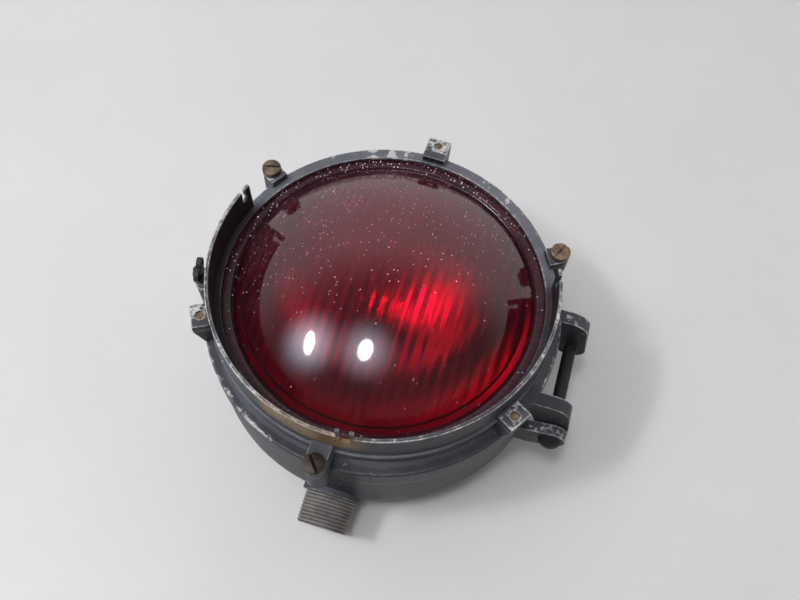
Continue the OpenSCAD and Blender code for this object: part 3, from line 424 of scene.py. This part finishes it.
def grid_piece(name, points, body, material, replaced=(), around=True, loop=False,
               poles=(False, False), attribute=None):
    """Piece from a grid of points in millimetres: rows along the first parameter, columns along the second.

    around closes the columns, loop closes the rows, and a pole shrinks its end row to one point. The faces
    turn outwards by the sign of the enclosed volume. An attribute is a name and one value to a point."""
    rows, cols = points.shape[:2]
    flat = points.reshape(-1, 3) * MM
    index = np.arange(rows * cols).reshape(rows, cols)
    for which, row in ((0, 0), (1, rows - 1)):
        if poles[which]:
            index[row] = index[row, 0]
    here = index if around else index[:, :-1]
    beside = np.roll(index, -1, 1) if around else index[:, 1:]
    if loop:
        here, beside = np.vstack([here, here[:1]]), np.vstack([beside, beside[:1]])
    quads = np.stack([here[:-1], here[1:], beside[1:], beside[:-1]], -1).reshape(-1, 4)
    used, compact = np.unique(quads, return_inverse=True)
    quads = compact.reshape(-1, 4)
    flat = flat[used]
    a, b, c, d = (flat[quads[:, k]] for k in range(4))
    volume = np.einsum("ij,ij->", a, np.cross(b, c)) + np.einsum("ij,ij->", a, np.cross(c, d))
    if volume < 0:
        quads = quads[:, ::-1]
    corner = quads != np.roll(quads, 1, 1)
    corner &= corner.sum(1, keepdims=True) > 2
    sides = corner.sum(1)
    sides = sides[sides > 0]
    mesh = bpy.data.meshes.new(name)
    mesh.vertices.add(len(flat))
    mesh.vertices.foreach_set("co", flat.astype(np.float32).ravel())
    mesh.loops.add(int(sides.sum()))
    mesh.loops.foreach_set("vertex_index", quads[corner].astype(np.int32))
    mesh.polygons.add(len(sides))
    mesh.polygons.foreach_set("loop_start", (np.cumsum(sides) - sides).astype(np.int32))
    mesh.update(calc_edges=True)
    if attribute is not None:
        layer = mesh.attributes.new(attribute[0], "FLOAT", "POINT")
        layer.data.foreach_set("value", attribute[1].reshape(-1)[used].astype(np.float32))
    mesh.shade_smooth()
    mesh.set_sharp_from_angle(angle=SHARP)
    mesh.materials.append(material)
    mesh.update()
    piece = place(name, mesh)
    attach(piece, body)
    if replaced:
        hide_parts(*replaced)
    return piece


def polar(radii, heights, angles):
    """Surface of revolution about the lens axis: every (radius, height) row turned through the angles."""
    r, z, t = radii[:, None], heights[:, None], angles[None, :]
    return np.stack([r * np.cos(t), r * np.sin(t), z + 0 * t], -1)


def lens_piece():
    """Lens: a spherical dome, a moat and a flange turned about the axis, and a hollow with upright flutes.

    The hollow is a ball whose distance from the level line through its middle, at each x, is less by a cosine
    wave, one to a flute, with crests eased as pressing leaves them; its height at (x, y) follows from that.
    The offsets of moat, eased edge and hollow's mouth are (radius, height) pairs in millimetres."""
    dome_rows, hollow_rows, columns = 56, 118, 480
    dome_r = DOME_R * np.linspace(0, 1, dome_rows) ** 0.9
    dome_z = DOME_MID + np.sqrt(DOME_BALL ** 2 - dome_r ** 2)
    hollow_edge = DOME_R - GLASS_T
    moat = np.array([(0.15, -0.6), (0.5, -1.3), (1.1, -1.6), (1.7, -1.3), (2.05, -0.6), (2.4, -0.15),
                     (2.8, -0.02), (5.9, 0)])
    ease = np.array([(-0.9, 0), (-0.4, -0.15), (-0.1, -0.5), (0, -1)])
    mouth = np.array([(8, 0), (1.1, 0), (0.4, 0.15), (0.05, 0.6), (0, 1.9)])
    rim = np.concatenate([(DOME_R, LENS_FRONT) + moat, (LENS_R, LENS_FRONT) + ease,
                          (LENS_R, LENS_BACK) + ease[::-1] * (1, -1), (hollow_edge, LENS_BACK) + mouth])
    hollow_ball = DOME_BALL - GLASS_T
    hollow_r = hollow_edge * np.linspace(1, 0, hollow_rows)
    angles = np.linspace(0, TURN, columns, endpoint=False)
    outside = polar(np.r_[dome_r, rim[:, 0]], np.r_[dome_z, rim[:, 1]], angles)
    inside = polar(hollow_r, 0 * hollow_r, angles)
    x, y = inside[..., 0], inside[..., 1]
    wave = FLUTE_D * (0.5 + 0.5 * np.cos(TURN * x / FLUTE_PITCH))
    inside[..., 2] = DOME_MID + np.sqrt((np.sqrt(hollow_ball ** 2 - x ** 2) - wave) ** 2 - y ** 2)
    points = np.concatenate([outside, inside])
    return grid_piece("lens_glass", points, "door", ruby_glass(), ["lens"], poles=(True, True))


def stem_piece():
    """Nipple: a pipe whose outer radius carries a helical thread, a triangle wave in length less angle.

    The wave is cut off flat at its root and its crest, and runs out in a chamfer at the tip; the path returns
    along the reamed mouth and the bore. The pipe leans back about the middle of the boss's face."""
    rows, columns = 150, 112
    root_flat, flank, bore_dirt = 0.10, 0.78, 0.35
    chamfer, chamfer_slope, mouth_ease = 0.8, 0.5, 0.4
    length = np.linspace(BOSS_Y, STEM_TIP, rows)
    angles = np.linspace(0, TURN, columns, endpoint=False)
    t, a = np.meshgrid(length, angles, indexing="ij")
    wave = np.abs(2 * ((t / THREAD_PITCH - a / TURN) % 1.0) - 1)
    crest = np.clip((wave - root_flat) / flank, 0, 1)
    outer = STEM_R - THREAD_D * (1 - crest)
    outer = np.minimum(outer, STEM_R - chamfer_slope * np.clip(t - (STEM_TIP - chamfer), 0, None))
    step = STEM_TIP - STEM_MOUTH_D
    path_t = np.array([STEM_TIP, STEM_TIP - 0.5, step, step, STEM_IN, STEM_IN, BOSS_Y - 0.1])
    path_r = np.array([STEM_MOUTH_R + mouth_ease, STEM_MOUTH_R, STEM_MOUTH_R, STEM_BORE, STEM_BORE,
                       STEM_SEAT_R, STEM_SEAT_R])
    back_t, back_r = (np.repeat(path[:, None], columns, 1) for path in (path_t, path_r))
    t, r = np.vstack([t, back_t]), np.vstack([outer, back_r])
    a = np.repeat(angles[None], len(t), 0)
    groove = np.vstack([1 - crest, np.full_like(back_t, bore_dirt)])
    out, up = t - BOSS_Y, r * np.sin(a)
    c, s = math.cos(STEM_LEAN), math.sin(STEM_LEAN)
    points = np.stack([r * np.cos(a), -BOSS_Y - out * c - up * s, STEM_Z - out * s + up * c], -1)
    return grid_piece("pipe_stem", points, "case", pipe_thread(), ["stem_nipple"],
                      loop=True, attribute=("groove", groove))


def slotted_screw(name, angle, at_r, slot_angle, slot_d, material):
    """Cheese-head screw: chords of the head laid side by side across the slot.

    Each column is a closed path: along the seat, up one side, over the crowned top and down the other side,
    as shares of the chord's half length and of the top's height. The columns between the slot's walls keep to
    the slot's floor, which dirt may have raised."""
    slot_w, crown, chords, over_rows = 2.0, 0.9, 41, 23
    half = slot_w / 2
    wide = HEAD_R * np.sin(np.linspace(-math.pi / 2, math.pi / 2, chords))
    left, right = wide[wide < -half - 0.1], wide[wide > half + 0.1]
    x = np.r_[left, -half, -half, 0.0, half, half, right]
    in_slot = np.r_[np.zeros(len(left) + 1), np.ones(3), np.zeros(len(right) + 1)].astype(bool)
    chord = np.sqrt(np.maximum(HEAD_R ** 2 - x ** 2, 0))
    over = np.linspace(-0.955, 0.955, over_rows)
    share = np.r_[0.9, -0.9, -1.0, -1.0, -1.0, -0.99, over, 0.99, 1.0, 1.0, 1.0]
    lift = np.r_[0.0, 0.0, 0.12, 0.6, 0.90, 0.96, np.ones(over_rows), 0.96, 0.90, 0.6, 0.12]
    y = share[:, None] * chord[None]
    top = HEAD_H - crown * (x[None] ** 2 + y ** 2) / HEAD_R ** 2
    top = np.where(in_slot[None], np.minimum(top, HEAD_H - slot_d), top)
    z = lift[:, None] * top
    x = np.repeat(x[None], len(share), 0)
    turn, around = math.radians(slot_angle - 90), math.radians(angle + LUG_TURN)
    u = math.cos(turn) * x - math.sin(turn) * y
    v = math.sin(turn) * x + math.cos(turn) * y
    points = np.stack([at_r * math.cos(around) + u, at_r * math.sin(around) + v, LUG_Z + z], -1)
    return grid_piece(name, points, "door", material, around=False, loop=True)


def finish_nodes(finishes):
    """Puts each finish on the CAD nodes that keep their own shape."""
    for node, material in finishes.items():
        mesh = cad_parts[node].data
        mesh.materials.clear()
        mesh.materials.append(material)


def floor_and_light():
    """Pale table, a room bright beyond the lamp and dim overhead, and two windows that the dome mirrors."""
    side = 3.0
    corners = [(-side, -side, 0), (side, -side, 0), (side, side, 0), (-side, side, 0)]
    mesh = bpy.data.meshes.new("table")
    mesh.from_pydata(corners, [], [(0, 1, 2, 3)])
    f = Finish("table_white")
    tone = f.mix(f.noise(160, 3), (0.585, 0.56, 0.535), (0.645, 0.625, 0.60))
    mesh.materials.append(f.done(f.surface(Base_Color=tone, Roughness=0.55)))
    table = place("table", mesh)

    world = bpy.data.worlds.new("room")
    room = Nodes(world)
    towards = room.add("TexCoord", out="Generated")
    x, y, z = (room.add("SeparateXYZ", None, {"Vector": towards}, out=k) for k in range(3))
    shade = (0.8 * z - 0.62 * y + 0.15 * x).rise(0.05, 0.6)
    level = room.mix(shade, (1.10, 1.10, 1.11), (0.18, 0.18, 0.19))
    backdrop = room.add("Background", None, {"Color": level, "Strength": 1.0})
    room.add("OutputWorld", None, {"Surface": backdrop})
    bpy.context.scene.world = world

    soft_window("window_left", (-0.525, -0.249, 0.814), (0.09, 0.19), 85, 11.0)
    soft_window("window_right", (-0.084, -0.227, 0.970), (0.13, 0.19), 46, 7.5)


def soft_window(name, direction, core, core_level, glow_level):
    """Area lamp that faces the lens from a direction: an oval core in a bluish glow that fades to nothing.

    core holds the oval's half widths; lengths are in metres and levels are strengths of emission."""
    distance, glow_r, lens_z = 2.2, 0.85, 0.12
    aim = np.array(direction) / np.linalg.norm(direction)
    across = np.cross((0, 1, 0), aim)
    across /= np.linalg.norm(across)
    along = np.cross(aim, across)
    data = bpy.data.lights.new(name, "AREA")
    data.shape = "SQUARE"
    data.size = 2 * glow_r
    data.energy = math.pi * data.size ** 2
    glow = Nodes(data)
    spot = glow.add("NewGeometry", out="Parametric")
    u, v = (2 * glow_r * (glow.add("SeparateXYZ", None, {"Vector": spot}, out=k) - 0.5) for k in range(2))
    inner = ((u * u / core[0] ** 2 + v * v / core[1] ** 2) ** 0.5).rise(1.25, 0.7)
    outer = ((u * u + v * v) ** 0.5).rise(glow_r, 0.0) ** 2
    tint = glow.mix(inner, (0.80, 0.84, 1.0), (1.0, 1.0, 1.0))
    shine = glow.add("Emission", None, {"Color": tint, "Strength": inner * core_level + outer * glow_level})
    glow.add("OutputLight", None, {"Surface": shine})
    stand(place(name, data), (across, along, aim), np.array([0, 0, lens_z]) + aim * distance)


def camera():
    """Camera at the photograph's viewing angle, with a lens as long as the frame is wide."""
    film = 36.0
    data = bpy.data.cameras.new("camera")
    data.sensor_width = film
    data.lens = film
    data.clip_start = 0.01
    right = (0.95664, 0.29012, 0.02582)
    up = (-0.26875, 0.84502, 0.46229)
    behind = (0.11231, -0.44918, 0.88635)
    where = (67.48 * MM, -227.81 * MM, (LAND_Z + 439.93) * MM)
    ob = place("camera", data)
    stand(ob, (right, up, behind), where)
    bpy.context.scene.camera = ob


camera()
floor_and_light()
brass = aged_brass("aged_brass", (2, 7, 4))
lens_piece()
stem_piece()
orange_brass = aged_brass("brass_orange", (1, 5, 9), 1.15)
slotted_screw("screw_right", 30, LUG_R, slot_angle=65, slot_d=1.3, material=orange_brass)
grey_brass = aged_brass("brass_grey", (8, 2, 3), 0.85)
slotted_screw("screw_left", 150, LUG_R, slot_angle=15, slot_d=1.3, material=grey_brass)
dark_brass = aged_brass("brass_dark", (4, 4, 6), 0.26)
screw_bottom = slotted_screw("screw_bottom", 270, BOTTOM_LUG_R, slot_angle=130, slot_d=3.1,
                             material=dark_brass)
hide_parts("lug_screws")
rubber = plain_moulding("sheet_rubber", (0.010, 0.010, 0.010), (0.022, 0.021, 0.020), 9, 0.62)
steel = dark_steel("oxidised_steel", (5, 1, 2))
clear = blown_glass()
finish_nodes({
    "housing": painted_casting("painted_drum", (11, 3, 7)),
    "door_frame": painted_casting("painted_door", (2, 9, 5)),
    "hinge_pin": dark_steel("painted_pin", (3, 3, 8)),
    "cross_pin": steel, "socket_bracket": steel, "snap_ring": steel, "latch_washer": steel,
    "wing_screw": steel,
    "lug_stubs": aged_brass("brass_stub", (6, 6, 1), 1.5),
    "reflector_screws": brass, "bracket_screws": brass, "socket_shell": brass, "board_screws": brass,
    "terminal_studs": brass, "terminal_nuts": brass, "bulb_cap": aged_brass("lamp_cap", (9, 9, 2), 1.6),
    "door_seal": rubber, "lens_seal": rubber, "lens_cushion": rubber,
    "stem_bushing": plain_moulding("brown_fibre", (0.045, 0.022, 0.012), (0.085, 0.045, 0.025), 6, 0.55),
    "reflector": silvered(),
    "socket_base": plain_moulding("porcelain", (0.66, 0.63, 0.56), (0.80, 0.78, 0.72), 10, 0.12, depth=0.02),
    "bulb_glass": clear, "bulb_stem": clear,
    "filament": plain_moulding("tungsten", (0.05, 0.05, 0.05), (0.12, 0.12, 0.12), 1, 0.4, 0.9, 0.02),
    "terminal_board": plain_moulding("phenolic", (0.016, 0.010, 0.008), (0.035, 0.022, 0.016), 8, 0.32),
    "wire_tags": plain_moulding("tinned_copper", (0.30, 0.24, 0.17), (0.50, 0.45, 0.38), 3, 0.38, 0.85),
    "lamp_leads": plain_moulding("lead_cover", (0.012, 0.011, 0.010), (0.026, 0.024, 0.022), 3, 0.7),
})

bpy.context.scene.view_settings.view_transform = "Standard"
